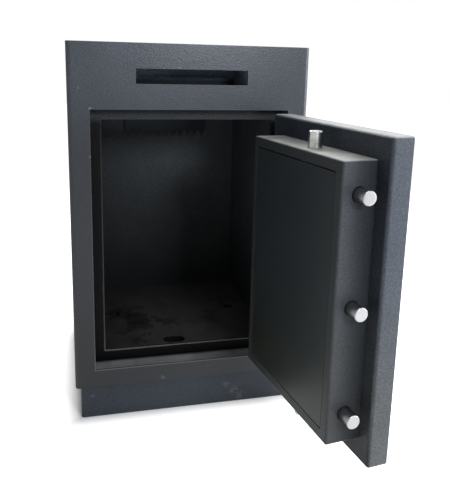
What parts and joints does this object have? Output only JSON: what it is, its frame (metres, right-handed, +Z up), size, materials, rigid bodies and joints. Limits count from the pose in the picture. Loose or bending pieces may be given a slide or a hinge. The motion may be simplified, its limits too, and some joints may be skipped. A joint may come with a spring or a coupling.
{
  "type": "drop safe",
  "caption": "Floor-standing drop safe with a deposit slot above a hinged door, a boltwork housing behind the door, sliding locking bolts, a lever handle and a key lock.",
  "frame": {"origin": "middle of the plinth's underside, on the ground", "axes": "+Z up, the safe's front faces -Y, +X to the right as seen from the front"},
  "size_m": [0.4843, 0.8315, 0.723],
  "materials": {
    "paint": "dark blue-grey fine-textured semi-gloss paint",
    "liner_paint": "darker matt paint of the compartment",
    "door_paint": "dark grey fine-textured semi-gloss paint",
    "turned_steel": "bright turned steel",
    "rolled_steel": "plain rolled steel",
    "chromed": "polished chrome",
    "brass": "plain brass",
    "cast_fill": "rough cast filling"
  },
  "bodies": {
    "cabinet": {"body_wrap": "paint", "roof_plate": "paint", "base_plate": "paint", "back_plate": "paint", "plinth": "paint", "door_jamb": "paint", "hinge_knuckle_frame_upper": "paint", "hinge_knuckle_frame_lower": "paint", "inner_liner": "liner_paint", "deposit_chute": "liner_paint", "slot_deflector": "liner_paint", "toothed_baffle": "liner_paint", "wall_filling": "cast_fill", "anchor_sleeve_left": "rolled_steel", "anchor_sleeve_right": "rolled_steel", "hinge_pin_upper": "turned_steel", "hinge_pin_lower": "turned_steel"},
    "door": {"hinge_knuckle_door_upper": "paint", "hinge_knuckle_door_lower": "paint", "door_filling": "cast_fill", "side_guide_rail": "rolled_steel", "lock_case": "rolled_steel", "lock_lid": "rolled_steel", "top_bolt_guide": "rolled_steel", "bottom_bolt_guide": "rolled_steel", "top_rod_guide": "rolled_steel", "bottom_rod_guide": "rolled_steel", "hinge_side_dog_upper": "turned_steel", "hinge_side_dog_lower": "turned_steel", "hinge_side_stud": "turned_steel", "door_pan": "door_paint", "door_inner_plate": "door_paint", "boltwork_housing": "door_paint", "boltwork_cover": "door_paint", "cover_screw_upper_free": "door_paint", "cover_screw_upper_hinge": "door_paint", "cover_screw_lower_free": "door_paint", "cover_screw_lower_hinge": "door_paint", "handle_rose": "chromed", "key_escutcheon": "chromed", "spindle_bush": "brass", "key_tube": "brass"},
    "side_boltwork": {"side_bolt_upper": "turned_steel", "side_bolt_middle": "turned_steel", "side_bolt_lower": "turned_steel", "bolt_bar": "rolled_steel"},
    "top_boltwork": {"top_bolt": "turned_steel", "top_bolt_rod": "rolled_steel", "top_rod_screw": "rolled_steel"},
    "bottom_boltwork": {"bottom_bolt": "turned_steel", "bottom_bolt_rod": "rolled_steel", "bottom_rod_screw": "rolled_steel"},
    "handle": {"handle_lever": "chromed", "handle_spindle": "turned_steel", "spindle_nut": "rolled_steel", "cam": "rolled_steel"},
    "lock_bolt": {"lock_bolt": "brass"},
    "key": {"key": "rolled_steel"}
  },
  "joints": [
    {"name": "door_hinge", "type": "hinge", "parent": "cabinet", "child": "door", "pos_m": [0.194, -0.232, 0.353], "axis": [0, 0, 1], "range_deg": [-97, 78]},
    {"name": "side_bolts_slide", "type": "slide", "parent": "door", "child": "side_boltwork", "axis": [-0.1219, 0.9925, 0], "range_m": [0, 0.026]},
    {"name": "top_bolt_slide", "type": "slide", "parent": "door", "child": "top_boltwork", "axis": [0, 0, -1], "range_m": [0, 0.026]},
    {"name": "bottom_bolt_slide", "type": "slide", "parent": "door", "child": "bottom_boltwork", "axis": [0, 0, 1], "range_m": [0, 0.026]},
    {"name": "handle_turn", "type": "hinge", "parent": "door", "child": "handle", "pos_m": [0.20853, -0.44884, 0.352], "axis": [-0.9925, -0.1219, 0], "range_deg": [0, 60]},
    {"name": "lock_bolt_slide", "type": "slide", "parent": "door", "child": "lock_bolt", "axis": [0, 0, -1], "range_m": [0, 0.0125]},
    {"name": "key_turn", "type": "hinge", "parent": "door", "child": "key", "pos_m": [0.21146, -0.47267, 0.45], "axis": [0.9925, 0.1219, 0], "range_deg": [0, 180]}
  ],
  "couplings": [
    {"joint": "top_bolt_slide", "follows": "side_bolts_slide", "ratio": 1},
    {"joint": "bottom_bolt_slide", "follows": "side_bolts_slide", "ratio": 1},
    {"joint": "handle_turn", "follows": "side_bolts_slide", "rad_per_m": 40.277},
    {"joint": "key_turn", "follows": "lock_bolt_slide", "rad_per_m": 251.33}
  ]
}
